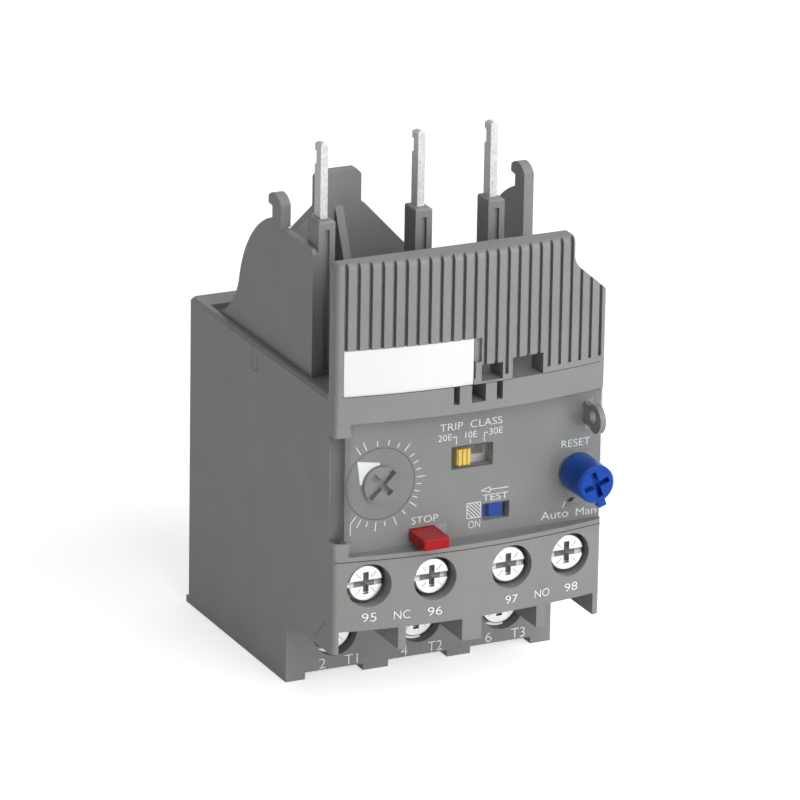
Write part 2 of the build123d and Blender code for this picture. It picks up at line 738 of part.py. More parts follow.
power_slot_angles = (0, 0, 0)
for phase, x, angle in zip((1, 2, 3), power_x, power_slot_angles):
    shank_end_f = power_chamber_f + power_chamber_depth - free_gap
    screw = slotted_screw(
        x, power_screw_z, power_head_f, power_head_radius, power_head_height, power_shank_radius,
        shank_end_f, angle,
    )
    screw.label = f"power_screw_{phase}"
    export_step(screw, f"parts/power_screw_{phase}.step")
    clamp = clamp_plate(x, power_screw_z, power_clamp_f, power_clamp_size, power_shank_radius + running_gap)
    clamp.label = f"power_clamp_{phase}"
    export_step(clamp, f"parts/power_clamp_{phase}.step")


# Conductors: plug pin, strap over the circuit board, leg through the transformer, terminal plate
def conductor(plug_x, terminal_x):
    """One pole from its plug pin to its terminal plate."""
    leg_x = (terminal_x - copper_width / 2, terminal_x + copper_width / 2)
    plate_x = (terminal_x - power_plate_width / 2, terminal_x + power_plate_width / 2)
    pin_span_x = (plug_x - pin_width / 2, plug_x + pin_width / 2)
    link_z = (power_chamber_top_z, power_chamber_top_z + copper_thickness)
    with BuildPart() as pole:
        block(pin_span_x, pin_spans_f, (strap_z, pin_top_z))
        tip = pole.faces().sort_by(Axis.Z)[-1]
        chamfer(tip.edges(), 0.35)
        notch_f = (pin_spans_f[1] - pin_notch_depth, pin_spans_f[1])
        block(pin_span_x, notch_f, pin_notch_z, Mode.SUBTRACT)
        with BuildSketch(Plane.XY.offset(strap_z)):
            with BuildLine():
                Polyline(
                    (pin_span_x[0], at(pin_spans_f[0])),
                    (pin_span_x[1], at(pin_spans_f[0])),
                    (leg_x[1], at(leg_f)),
                    (leg_x[1], at(leg_back_f)),
                    (leg_x[0], at(leg_back_f)),
                    (pin_span_x[0], at(pin_spans_f[1])),
                    close=True,
                )
            make_face()
        extrude(amount=copper_thickness)
        block(leg_x, (leg_f, leg_back_f), (link_z[0], strap_z + copper_thickness))
        block(leg_x, (power_plate_f, leg_back_f), link_z)
        block(plate_x, (power_plate_f, power_plate_back_f), (power_plate_bottom_z, power_chamber_top_z))
        hole_f = (power_plate_f, power_plate_back_f)
        rod_y(terminal_x, power_screw_z, hole_f, power_shank_radius + running_gap, Mode.SUBTRACT)
    return pole.part


for phase, plug_x, terminal_x in zip((1, 2, 3), pin_x, power_x):
    pole = conductor(plug_x, terminal_x)
    pole.label = f"conductor_l{phase}"
    export_step(pole, f"parts/conductor_l{phase}.step")


# Current transformers on their carrier
def ct_core(x):
    """Closed rectangular core."""
    with BuildPart() as core:
        core_x = (x - ct_width / 2, x + ct_width / 2)
        core_z = (ct_bottom_z, ct_bottom_z + ct_height)
        block(core_x, (ct_front_f, ct_back_f), core_z)
        window_x = (core_x[0] + ct_limb, core_x[1] - ct_limb)
        block(window_x, (ct_front_f + ct_limb, ct_back_f - ct_limb), core_z, Mode.SUBTRACT)
    return core.part


def ct_coil(x):
    """Winding round the rear limb of a core."""
    coil_x = (x - ct_coil_width / 2, x + ct_coil_width / 2)
    limb_f = (ct_back_f - ct_limb, ct_back_f)
    limb_z = (ct_bottom_z, ct_bottom_z + ct_height)
    with BuildPart() as coil:
        block(
            coil_x,
            (limb_f[0] - ct_coil_build, limb_f[1] + ct_coil_build),
            (limb_z[0] - ct_coil_build, limb_z[1] + ct_coil_build),
        )
        fillet(coil.edges().filter_by(Axis.X), ct_coil_build - 0.2)
        block(coil_x, limb_f, limb_z, Mode.SUBTRACT)
    return coil.part


for phase, x in zip((1, 2, 3), power_x):
    core = ct_core(x)
    core.label = f"ct_core_l{phase}"
    export_step(core, f"parts/ct_core_l{phase}.step")
    coil = ct_coil(x)
    coil.label = f"ct_coil_l{phase}"
    export_step(coil, f"parts/ct_coil_l{phase}.step")

with BuildPart() as ct_carrier:
    carrier_f = (ct_front_f - 1.0, ct_back_f + ct_coil_build + 1.0)
    block((-inner_x, inner_x), carrier_f, (carrier_top_z - carrier_thickness, carrier_top_z))
    for x in power_x:
        slot_x = (x - copper_width / 2 - free_gap, x + copper_width / 2 + free_gap)
        slot_f = (leg_f - free_gap, leg_back_f + free_gap)
        block(slot_x, slot_f, (carrier_top_z - carrier_thickness, carrier_top_z), Mode.SUBTRACT)
        seat_z = (carrier_top_z, ct_bottom_z)
        block((x - ct_width / 2, x + ct_width / 2), (ct_front_f, ct_front_f + ct_limb), seat_z)
        for side in (-1, 1):
            limb_x = sorted((x + side * ct_width / 2, x + side * (ct_width / 2 - ct_limb)))
            block(limb_x, (ct_back_f - 2 * ct_limb, ct_back_f), seat_z)
ct_carrier.part.label = "ct_carrier"
export_step(ct_carrier.part, "parts/ct_carrier.step")

# Circuit board and what it carries
board_back_f = board_front_f + board_thickness
with BuildPart() as circuit_board:
    block(board_x, (board_front_f, board_back_f), board_z)
circuit_board.part.label = "circuit_board"
export_step(circuit_board.part, "parts/circuit_board.step")

with BuildPart() as capacitor:
    capacitor_radius = 2.2
    can_f = board_front_f - capacitor_radius
    rod_z(7.5, can_f, (41.4, 46.8), capacitor_radius)
    chamfer(capacitor.edges().sort_by(Axis.Z)[-1], 0.3)
capacitor.part.label = "capacitor"
export_step(capacitor.part, "parts/capacitor.step")

with BuildPart() as controller_chip:
    block((-6.0, 1.0), (board_front_f - 1.2, board_front_f), (42.2, 46.8))
controller_chip.part.label = "controller_chip"
export_step(controller_chip.part, "parts/controller_chip.step")

with BuildPart() as potentiometer_body:
    pot_f = (seam_f + dial_flange + 2 * free_gap, board_front_f)
    block((dial_x - 4.5, dial_x + 4.5), pot_f, (board_z[0] + slide_gap, dial_z + 4.25))
    bore_f = (pot_f[0], dial_shaft_end_f + slide_gap)
    rod_y(dial_x, dial_z, bore_f, dial_shaft_radius + running_gap, Mode.SUBTRACT)
potentiometer_body.part.label = "potentiometer_body"
export_step(potentiometer_body.part, "parts/potentiometer_body.step")

class_tail_x = (class_slider_x[0] + 0.4, class_slider_x[1] - 0.4)
class_tail_z = (37.7, 39.2)
class_tail_end_f = board_front_f - 1.5
with BuildPart() as class_switch_body:
    switch_f = (seam_f + slide_gap + selector_plate + free_gap, board_front_f)
    block((-6.0, 7.4), switch_f, (36.2, 40.6))
    groove_x = (class_tail_x[0] + class_travel[0] - free_gap, class_tail_x[1] + class_travel[1] + free_gap)
    groove_z = (class_tail_z[0] - slide_gap, class_tail_z[1] + slide_gap)
    block(groove_x, (switch_f[0], class_tail_end_f + slide_gap), groove_z, Mode.SUBTRACT)
class_switch_body.part.label = "class_switch_body"
export_step(class_switch_body.part, "parts/class_switch_body.step")

# Window cover: curved clear sheet with its hinge barrel, stubs and cut-outs
barrel_z = (lower_tab_top_z + slide_gap, upper_tab_bottom_z - slide_gap)
with BuildPart() as window_cover:
    add(bowed_skin((window_left_x, half_width), (window_bottom_z, window_top_z), 0, window_thickness))
    add(bowed_skin((hinge_x, window_left_x), barrel_z, 0, window_thickness))
    rod_z(hinge_x, hinge_f, barrel_z, barrel_radius)
    rod_z(hinge_x, hinge_f, (barrel_z[0] - stub_length, barrel_z[1] + stub_length), stub_radius)
    cut_f = (-4.0, 2.0)
    rod_y(knob_x, knob_z, cut_f, knob_cutout_radius, Mode.SUBTRACT)
    nub_cut_x = (knob_x - nub_cutout[0], knob_x + nub_cutout[1])
    block(nub_cut_x, cut_f, (knob_z - nub_cutout[2], knob_z), Mode.SUBTRACT)
    block((eyelet_x - 0.4, eyelet_x + eyelet_thickness + 0.7), cut_f, eyelet_cutout_z, Mode.SUBTRACT)
    stop_cut_x = (stop_x[0] - stop_cutout_gap[0], stop_x[1] + stop_cutout_gap[1])
    block(stop_cut_x, cut_f, (window_bottom_z, stop_z[1] + stop_cutout_gap[2]), Mode.SUBTRACT)
window_cover.part.label = "window_cover"
export_step(window_cover.part, "parts/window_cover.step")

# Setting dial with its hub, cross slot, flange behind the panel and shaft
with BuildPart() as setting_dial:
    rod_y(dial_x, dial_z, (panel_f, seam_f), dial_radius)
    rod_y(dial_x, dial_z, (panel_f - dial_hub_height, panel_f), dial_hub_radius)
    rod_y(dial_x, dial_z, (seam_f, seam_f + dial_flange), dial_radius + dial_flange)
    rod_y(dial_x, dial_z, (seam_f, dial_shaft_end_f), dial_shaft_radius)
    with BuildSketch(facing(panel_f - dial_hub_height)):
        with Locations(Location((dial_x, dial_z), 45)):
            Rectangle(5.5, 0.95)
            Rectangle(0.95, 4.4)
    extrude(amount=-1.0, mode=Mode.SUBTRACT)
setting_dial.part.label = "setting_dial"
export_step(setting_dial.part, "parts/setting_dial.step")

# Class selector: ribbed thumb piece in the slot, lips behind the panel, tail into the switch
with BuildPart() as class_selector:
    thumb_z = (class_slot_z[0] + 0.27, class_slot_z[1] - 0.55)
    block(class_slider_x, (panel_f + 0.4, seam_f + slide_gap), thumb_z)
    rib_pitch = (class_slider_x[1] - class_slider_x[0]) / 3
    for i in range(3):
        rib_x = class_slider_x[0] + (i + 0.5) * rib_pitch
        block((rib_x - 0.2, rib_x + 0.2), (panel_f + 0.15, panel_f + 0.4), thumb_z)
    plate_f = (seam_f + slide_gap, seam_f + slide_gap + selector_plate)
    block(class_slider_x, plate_f, (class_slot_z[0] - 0.8, class_slot_z[1] + 0.8))
    block(class_tail_x, (plate_f[1], class_tail_end_f), class_tail_z)
class_selector.part.label = "class_selector"
export_step(class_selector.part, "parts/class_selector.step")

# Mechanism frame: two legs that guide the trip slide and a roof that carries the magnet
with BuildPart() as mechanism_frame:
    frame_top_z = slide_bar_z[1] + slide_gap + frame_roof
    roof_z = (frame_top_z - frame_roof, frame_top_z)
    block((-frame_leg_x[1], frame_leg_x[1]), frame_f, roof_z)
    for side in (-1, 1):
        leg_x = sorted((side * frame_leg_x[0], side * frame_leg_x[1]))
        block(leg_x, (frame_f[0], frame_f[1] - 1.6), (parting_z, roof_z[0]))
        window_f = (slide_bar_f[0] - slide_gap, slide_bar_f[1] + slide_gap)
        block(leg_x, window_f, (slide_bar_z[0] - slide_gap, roof_z[0]), Mode.SUBTRACT)
    block((7.2, 10.5), (11.4, 13.2), roof_z, Mode.SUBTRACT)
mechanism_frame.part.label = "mechanism_frame"
export_step(mechanism_frame.part, "parts/mechanism_frame.step")

# Trip slide: guided bar with two bridge holders and the arm that meets the magnet plunger
nc_bridge_x = nc_face_x - 2 * contact_height
no_bridge_x = no_face_x + 2 * contact_height + trip_travel
bridge_thickness = 0.6
holder_f = (12.0, 13.4)
holder_z = (contact_z - 1.3, slide_bar_z[0])
arm_x = (8.8, 10.3)
with BuildPart() as trip_slide:
    block(slide_bar_x, slide_bar_f, slide_bar_z)
    nc_back_x = nc_bridge_x - bridge_thickness
    no_back_x = no_bridge_x + bridge_thickness
    block((nc_back_x - 1.2, nc_back_x), holder_f, holder_z)
    block((no_back_x, no_back_x + 1.2), holder_f, holder_z)
    block(arm_x, (11.6, 13.0), (slide_bar_z[1], magnet_z + 1.8))
    block(arm_x, (13.0, magnet_f + magnet_plunger_radius + 0.2), (magnet_z - 1.8, magnet_z + 1.8))
trip_slide.part.label = "trip_slide"
export_step(trip_slide.part, "parts/trip_slide.step")


# Contact bridges on the trip slide
def contact_bridge(face_x, side):
    """Bridge across a contact pair; side points to the fixed contacts."""
    plate_x = sorted((face_x, face_x - side * bridge_thickness))
    rivet_x = sorted((face_x, face_x + side * contact_height))
    with BuildPart() as bridge:
        block(plate_x, (front_tab_f[0], rear_tab_f[1]), (contact_z - 1.0, contact_z + 1.0))
        for tab_f in (front_tab_f, rear_tab_f):
            rod_x(sum(tab_f) / 2, contact_z, rivet_x, contact_radius)
    return bridge.part


for kind, face_x, side in (("nc", nc_bridge_x, 1), ("no", no_bridge_x, -1)):
    bridge = contact_bridge(face_x, side)
    bridge.label = f"{kind}_contact_bridge"
    export_step(bridge, f"parts/{kind}_contact_bridge.step")

# Test slider: plate behind the test window with a raised grip, arm back to the trip slide
with BuildPart() as test_slider:
    plate_f = (seam_f + slide_gap, seam_f + slide_gap + 1.3)
    plate_z = (test_window_z[0] - 0.6, test_window_z[1] + 0.5)
    block(test_slider_x, plate_f, plate_z)
    grip_x = (test_window_x[0] + trip_travel + slide_gap, test_slider_x[1])
    grip_z = (test_window_z[0] + slide_gap, test_window_z[1] - slide_gap)
    block(grip_x, (panel_f + 1.0, plate_f[0]), grip_z)
    block((2.2, 4.6), (plate_f[1], slide_bar_f[0]), slide_bar_z)
test_slider.part.label = "test_slider"
export_step(test_slider.part, "parts/test_slider.step")

# Trip magnet: yoke, coil and the plunger that moves with the trip slide
magnet_base_f = magnet_f + magnet_coil_radius + 0.4
with BuildPart() as magnet_yoke:
    yoke_z = (frame_top_z, magnet_z + 4.0)
    base_f = (magnet_base_f, magnet_base_f + magnet_sheet)
    block((-magnet_half_width, magnet_half_width), base_f, yoke_z)
    for side in (-1, 1):
        cheek_x = sorted((side * magnet_half_width, side * (magnet_half_width - magnet_sheet)))
        block(cheek_x, (magnet_f - magnet_coil_radius, base_f[0]), yoke_z)
    cheek_x = (magnet_half_width - magnet_sheet, magnet_half_width)
    rod_x(magnet_f, magnet_z, cheek_x, magnet_plunger_radius + running_gap, Mode.SUBTRACT)
magnet_yoke.part.label = "magnet_yoke"
export_step(magnet_yoke.part, "parts/magnet_yoke.step")

with BuildPart() as magnet_coil:
    coil_half = magnet_half_width - magnet_sheet
    rod_x(magnet_f, magnet_z, (-coil_half, coil_half), magnet_coil_radius)
    rod_x(magnet_f, magnet_z, (-coil_half, coil_half), magnet_plunger_radius + free_gap, Mode.SUBTRACT)
magnet_coil.part.label = "magnet_coil"
export_step(magnet_coil.part, "parts/magnet_coil.step")

with BuildPart() as magnet_plunger:
    rod_x(magnet_f, magnet_z, (trip_travel + free_gap - coil_half, arm_x[0]), magnet_plunger_radius)
magnet_plunger.part.label = "magnet_plunger"
export_step(magnet_plunger.part, "parts/magnet_plunger.step")


# Return springs of the stop button and the reset plunger
def return_spring(x, z, f_span, coil_radius, wire_radius, turns):
    """Open coil between two seats, with its axis from front to back."""
    height = f_span[1] - f_span[0] - 2 * wire_radius
    with BuildPart() as spring:
        with BuildLine() as path:
            Helix(
                pitch=height / turns,
                height=height,
                radius=coil_radius,
                center=(x, at(f_span[0] + wire_radius), z),
                direction=(0, 1, 0),
            )
        with BuildSketch(path.line ^ 0):
            Circle(wire_radius)
        sweep()
    return spring.part


# Stop button: cap, collar behind the panel and stem through its guide
with BuildPart() as stop_button:
    block(stop_x, (stop_front_f, seam_f), stop_z)
    chamfer(stop_button.faces().sort_by(Axis.Y)[0].edges(), 0.25)
    collar_x = (stop_x[0] - collar_lip, stop_x[1] + collar_lip)
    collar_z = (stop_z[0], stop_z[1] + collar_lip)
    block(collar_x, (seam_f, collar_back_f), collar_z)
    rod_y(stop_mid_x, stop_mid_z, (collar_back_f, stop_guide_f + 2.0), stop_stem_radius)
stop_button.part.label = "stop_button"
export_step(stop_button.part, "parts/stop_button.step")

stop_spring = return_spring(stop_mid_x, stop_mid_z, (collar_back_f, stop_guide_f), 1.2, 0.15, 4)
stop_spring.label = "stop_spring"
export_step(stop_spring, "parts/stop_spring.step")

# Reset plunger: stem with a collar that rests behind the panel
plunger_tip_f = -3.0
with BuildPart() as reset_plunger:
    rod_y(knob_x, knob_z, (plunger_tip_f, plunger_back_f), plunger_radius)
    collar_x = (knob_x - reset_collar_width / 2, knob_x + reset_collar_width / 2)
    collar_z = (knob_z - reset_collar_reach, knob_z + reset_collar_reach)
    block(collar_x, (seam_f, collar_back_f), collar_z)
reset_plunger.part.label = "reset_plunger"
export_step(reset_plunger.part, "parts/reset_plunger.step")

reset_spring = return_spring(knob_x, knob_z, (collar_back_f, reset_guide_f), 1.85, 0.2, 4)
reset_spring.label = "reset_spring"
export_step(reset_spring, "parts/reset_spring.step")

# Reset knob: round cap with a cross slot and a pointer nub, turning on the plunger
with BuildPart() as reset_knob:
    rod_y(knob_x, knob_z, (-knob_reach, knob_back_f), knob_radius)
    chamfer(reset_knob.faces().sort_by(Axis.Y)[0].edges(), 0.35)
    nub_angle = math.radians(-71)
    nub_reach = 3.9
    with BuildSketch(facing(-knob_reach + 0.3)):
        with Locations(Location((knob_x, knob_z), -71)):
            with Locations((nub_reach / 2, 0)):
                Rectangle(nub_reach, 1.3)
    extrude(amount=-1.4)
    with BuildSketch(facing(-knob_reach)):
        with Locations(Location((knob_x, knob_z), 19)):
            Rectangle(4.2, 0.9)
            Rectangle(0.9, 4.2)
    extrude(amount=-1.2, mode=Mode.SUBTRACT)
    rod_y(knob_x, knob_z, (plunger_tip_f - slide_gap, knob_back_f), plunger_radius + running_gap, Mode.SUBTRACT)
reset_knob.part.label = "reset_knob"
export_step(reset_knob.part, "parts/reset_knob.step")
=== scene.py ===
import bpy
import bmesh
import json
import math
from mathutils import Matrix, Vector


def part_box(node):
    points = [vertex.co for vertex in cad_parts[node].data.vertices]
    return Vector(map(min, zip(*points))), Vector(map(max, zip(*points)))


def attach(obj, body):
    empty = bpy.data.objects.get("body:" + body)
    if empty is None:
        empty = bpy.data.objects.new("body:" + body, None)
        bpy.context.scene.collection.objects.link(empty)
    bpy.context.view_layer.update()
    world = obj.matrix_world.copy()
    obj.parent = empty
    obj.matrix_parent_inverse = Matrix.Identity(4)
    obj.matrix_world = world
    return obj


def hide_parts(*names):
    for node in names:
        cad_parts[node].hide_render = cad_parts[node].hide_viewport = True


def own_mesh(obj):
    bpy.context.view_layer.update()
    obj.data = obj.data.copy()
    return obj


# Electronic overload relay: finish, print and shallow marks over the solids, in a plain studio
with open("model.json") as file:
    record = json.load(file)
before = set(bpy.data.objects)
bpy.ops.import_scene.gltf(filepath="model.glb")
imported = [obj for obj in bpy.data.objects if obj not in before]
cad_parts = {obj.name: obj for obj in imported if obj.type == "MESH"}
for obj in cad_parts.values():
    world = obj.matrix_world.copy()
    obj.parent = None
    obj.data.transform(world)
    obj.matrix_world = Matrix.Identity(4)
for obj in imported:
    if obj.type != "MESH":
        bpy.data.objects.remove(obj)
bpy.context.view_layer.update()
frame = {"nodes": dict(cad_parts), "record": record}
scene = bpy.context.scene
nodes = frame["nodes"]

# Sizes in mm; depth f is counted backwards from the front side edges of the housing
MM = 0.001
HOUSING_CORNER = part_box("housing")[1]
BODY_DEPTH = 53.6
FRONT_Y = HOUSING_CORNER.y / MM - BODY_DEPTH
HALF_WIDTH = HOUSING_CORNER.x / MM
BOW_RISE = 2.36
BOW_RADIUS = (HALF_WIDTH**2 + BOW_RISE**2) / (2 * BOW_RISE)
BOW_CENTRE_F = BOW_RADIUS - BOW_RISE
PANEL_F = 1.0
POWER_FRONT_F = 16.16
PRINT_HEIGHT = 0.02


def place(x, f, z):
    """Point in metres from x, depth and height over the feet, in mm."""
    return Vector((x * MM, (FRONT_Y + f) * MM, z * MM))


def bow_f(x):
    """Depth of the bowed face at x."""
    return BOW_CENTRE_F - math.sqrt(BOW_RADIUS**2 - x**2)


# Materials: scales of the textures in cycles per metre, heights of the relief in metres
TONE_SCALE, GLOSS_SCALE, GRAIN_SCALE = 120, 400, 5000
STREAK_SCALE, POLISH_SCALE, PLATING_SCALE = 900, 1500, 2500
SHEET_WAVE_SCALE = 60
GRAIN_HEIGHT, SHEET_WAVE_HEIGHT = 0.00002, 0.0001


def new_material(name, color, roughness, metallic=0.0):
    """Principled material with its nodes."""
    material = bpy.data.materials.new(name)
    material.use_nodes = True
    shader = material.node_tree.nodes["Principled BSDF"]
    shader.inputs["Base Color"].default_value = (*color, 1)
    shader.inputs["Roughness"].default_value = roughness
    shader.inputs["Metallic"].default_value = metallic
    return material, material.node_tree, shader


def noise(tree, scale, detail=2.0, stretch=(1, 1, 1)):
    """Noise in object space."""
    coords = tree.nodes.new("ShaderNodeTexCoord")
    mapping = tree.nodes.new("ShaderNodeMapping")
    mapping.inputs["Scale"].default_value = stretch
    texture = tree.nodes.new("ShaderNodeTexNoise")
    texture.inputs["Scale"].default_value = scale
    texture.inputs["Detail"].default_value = detail
    tree.links.new(coords.outputs["Object"], mapping.inputs["Vector"])
    tree.links.new(mapping.outputs["Vector"], texture.inputs["Vector"])
    return texture


def ramp_color(tree, shader, factor, stops):
    """Colour from a ramp between two stops, each a position and a colour."""
    ramp = tree.nodes.new("ShaderNodeValToRGB")
    for element, (position, color) in zip(ramp.color_ramp.elements, stops):
        element.position = position
        element.color = (*color, 1)
    tree.links.new(factor, ramp.inputs["Fac"])
    tree.links.new(ramp.outputs["Color"], shader.inputs["Base Color"])


def vary_roughness(tree, shader, texture, low, high):
    """Roughness that drifts between two values with the texture."""
    span = tree.nodes.new("ShaderNodeMapRange")
    span.inputs["To Min"].default_value = low
    span.inputs["To Max"].default_value = high
    tree.links.new(texture.outputs["Fac"], span.inputs["Value"])
    tree.links.new(span.outputs["Result"], shader.inputs["Roughness"])


def bump(tree, shader, texture, strength, distance):
    """Surface relief from the texture."""
    relief = tree.nodes.new("ShaderNodeBump")
    relief.inputs["Strength"].default_value = strength
    relief.inputs["Distance"].default_value = distance
    tree.links.new(texture.outputs["Fac"], relief.inputs["Height"])
    tree.links.new(relief.outputs["Normal"], shader.inputs["Normal"])


def moulded(name, color, roughness=0.5, drift=0.05, grain=0.05, specular=0.5):
    """Moulded plastic: slow drift of tone and a fine spark-eroded grain."""
    material, tree, shader = new_material(name, color, roughness)
    shader.inputs["Specular IOR Level"].default_value = specular
    dark = tuple(c * (1 - drift) for c in color)
    light = tuple(min(1.0, c * (1 + drift)) for c in color)
    tone = noise(tree, TONE_SCALE, 4.0)
    ramp_color(tree, shader, tone.outputs["Fac"], ((0.3, dark), (0.7, light)))
    gloss = noise(tree, GLOSS_SCALE, 3.0)
    vary_roughness(tree, shader, gloss, roughness - 0.06, roughness + 0.06)
    bump(tree, shader, noise(tree, GRAIN_SCALE), grain, GRAIN_HEIGHT)
    return material


def metal(name, color, roughness=0.25, stretch=(1, 1, 1), drift=0.08, metallic=1.0):
    """Metal with faint drawn or plated streaks."""
    material, tree, shader = new_material(name, color, roughness, metallic)
    dark = tuple(c * (1 - drift) for c in color)
    streaks = noise(tree, STREAK_SCALE, 4.0, stretch)
    ramp_color(tree, shader, streaks.outputs["Fac"], ((0.3, dark), (0.7, color)))
    polish = noise(tree, POLISH_SCALE, 3.0, stretch)
    vary_roughness(tree, shader, polish, roughness - 0.08, roughness + 0.1)
    bump(tree, shader, noise(tree, PLATING_SCALE, 2.0, stretch), 0.12, GRAIN_HEIGHT)
    return material


def clear_plastic(name, color, shaded_edge_color, shaded_edge_share):
    """Clear moulded sheet, slightly smoked, with painted shade darkening its thick left edge."""
    material, tree, shader = new_material(name, color, 0.06)
    shader.inputs["Transmission Weight"].default_value = 1.0
    shader.inputs["IOR"].default_value = 1.015
    shader.inputs["Alpha"].default_value = 0.5
    shader.inputs["Coat Weight"].default_value = 0.6
    coords = tree.nodes.new("ShaderNodeTexCoord")
    split = tree.nodes.new("ShaderNodeSeparateXYZ")
    tree.links.new(coords.outputs["Generated"], split.inputs["Vector"])
    # Painted shade: the thick left edge of the sheet takes the darker colour
    stops = ((shaded_edge_share, shaded_edge_color), (shaded_edge_share + 0.01, color))
    ramp_color(tree, shader, split.outputs["X"], stops)
    bump(tree, shader, noise(tree, SHEET_WAVE_SCALE, 1.0), 0.03, SHEET_WAVE_HEIGHT)
    return material


GREY = (0.247, 0.245, 0.239)
materials = {
    "housing_grey": moulded("moulded_grey", GREY, 0.55),
    # Clear cover: smoked sheet, with a darker painted shade in its thick left edge
    "clear_cover": clear_plastic("clear_sheet", (0.6, 0.62, 0.63), (0.38, 0.39, 0.4), 0.055),
    "label_white": moulded("label_white", (0.85, 0.85, 0.85), 0.6, 0.01, 0.1),
    "tinned_copper": metal("tinned", (0.76, 0.765, 0.765), 0.5, (4, 4, 2.5), 0.3, 0.2),
    "screw_steel": metal("plated_steel", (0.8, 0.8, 0.8), 0.22, drift=0.1),
    "button_red": moulded("moulded_red", (0.38, 0.004, 0.006), 0.25, 0.04, specular=0.2),
    "knob_blue": moulded("moulded_blue", (0.005, 0.062, 0.37), 0.33, 0.04, specular=0.2),
    "selector_yellow": moulded("moulded_yellow", (0.86, 0.6, 0.09), 0.45, 0.04, 0.1),
    "dial_grey": moulded("dial_grey", tuple(0.95 * c for c in GREY), 0.5),
    "board_green": moulded("board_lacquer", (0.02, 0.13, 0.05), 0.35, 0.15, 0.2),
    "black_plastic": moulded("moulded_black", (0.02, 0.02, 0.02), 0.45),
    "white_plastic": moulded("moulded_white", (0.75, 0.73, 0.68), 0.45),
    "core_steel": metal("laminated_steel", (0.3, 0.31, 0.33), 0.45, (1, 1, 12), 0.25),
    "coil_copper": metal("enamelled_wire", (0.6, 0.24, 0.09), 0.3, (12, 1, 1), 0.3),
    "contact_brass": metal("stamped_brass", (0.78, 0.57, 0.25), 0.3),
    "spring_steel": metal("spring_wire", (0.6, 0.6, 0.62), 0.28),
    "can_aluminium": metal("aluminium_can", (0.75, 0.75, 0.77), 0.3),
}
print_white = moulded("print_white", (0.93, 0.93, 0.92), 0.6, 0.01)
# Dark lines for the parting lines and mould marks, also used for painted shade round the dial, slot
# and knob
groove_shade = moulded("groove_shade", (0.035, 0.035, 0.035), 0.8, 0.02)
# Painted shade in the screw heads: dark in the cross recess, lighter at the slot's ends and in the
# tick marks
drive_shade = metal("drive_shade", (0.1, 0.1, 0.103), 0.4)
slot_shade = metal("slot_shade", (0.3, 0.3, 0.3), 0.4)
# Painted light: the class switch body is far lighter than the housing grey, to lift the shade in
# its deep slot
switch_lit_grey = moulded("switch_lit_grey", (0.82, 0.82, 0.81), 0.5)

for part in frame["record"]["subparts"]:
    node = nodes[part["node"]]
    for material_slot in node.material_slots:
        material_slot.material = materials[part["material_slot"]]
nodes["class_switch_body"].material_slots[0].material = switch_lit_grey

# Printing: size of the letters before they are fitted, and how much they are thinned, in metres
LETTER_SIZE, LETTER_THINNING = 0.002, 0.00002


def finish_piece(piece, material, body):
    """Material and body of a new piece."""
    piece.data.materials.append(material)
    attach(piece, body)
    return piece


def lettering(name, text, x_span, z_span, depth=None, body="relay_body"):
    """Raised print that fills a rectangle on the front; without a depth it follows the bow."""
    curve = bpy.data.curves.new(name, "FONT")
    curve.body = text
    curve.size = LETTER_SIZE
    curve.extrude = PRINT_HEIGHT * MM / 2
    curve.offset = -LETTER_THINNING
    curve.resolution_u = 4
    piece = bpy.data.objects.new(name, curve)
    scene.collection.objects.link(piece)
    bpy.context.view_layer.update()
    corners = [Vector(c) for c in piece.bound_box]
    left, right = min(c.x for c in corners), max(c.x for c in corners)
    low, high = min(c.y for c in corners), max(c.y for c in corners)
    scale_x = (x_span[1] - x_span[0]) * MM / (right - left)
    scale_z = (z_span[1] - z_span[0]) * MM / (high - low)
    middle_x = sum(x_span) / 2
    front_f = bow_f(middle_x) if depth is None else depth
    turn = math.asin(middle_x / BOW_RADIUS) if depth is None else 0.0
    centre = Matrix.Translation((-(left + right) / 2, -(low + high) / 2, 0))
    size = Matrix.Diagonal((scale_x, scale_z, 1, 1))
    upright = Matrix.Rotation(math.pi / 2, 4, "X")
    facing = Matrix.Rotation(turn, 4, "Z")
    where = Matrix.Translation(place(middle_x, front_f - PRINT_HEIGHT, sum(z_span) / 2))
    piece.matrix_world = where @ facing @ upright @ size @ centre
    return finish_piece(piece, print_white, body)


def prism_piece(name, prisms, material, body):
    """New piece of thin prisms, each given by the corner points of its front and of its back."""
    mesh = bmesh.new()
    for front_points, back_points in prisms:
        front = [mesh.verts.new(point) for point in front_points]
        back = [mesh.verts.new(point) for point in back_points]
        mesh.faces.new(front)
        mesh.faces.new(list(reversed(back)))
        for i in range(len(front)):
            j = (i + 1) % len(front)
            mesh.faces.new((front[i], back[i], back[j], front[j]))
    bmesh.ops.recalc_face_normals(mesh, faces=mesh.faces)
    data = bpy.data.meshes.new(name)
    mesh.to_mesh(data)
    mesh.free()
    piece = bpy.data.objects.new(name, data)
    scene.collection.objects.link(piece)
    return finish_piece(piece, material, body)


def print_mesh(name, outlines, depth, body="relay_body", material=print_white):
    """Flat shapes on the front, each outline a list of x, z points in mm."""
    prisms = []
    for outline in outlines:
        front = [place(x, depth - PRINT_HEIGHT, z) for x, z in outline]
        back = [place(x, depth - PRINT_HEIGHT / 4, z) for x, z in outline]
        prisms.append((front, back))
    return prism_piece(name, prisms, material, body)


def stroke(start, end, width):
    """Outline of a straight line."""
    a, b = Vector(start), Vector(end)
    side = (b - a).normalized().orthogonal() * width / 2
    return [tuple(a + side), tuple(b + side), tuple(b - side), tuple(a - side)]


def closed_line(points, width):
    """Outlines of the lines through the points and back to the first."""
    return [stroke(a, b, width) for a, b in zip(points, points[1:] + points[:1])]


def rectangle(x_span, z_span):
    """Outline of an upright rectangle."""
    (left, right), (low, high) = x_span, z_span
    return [(left, low), (right, low), (right, high), (left, high)]


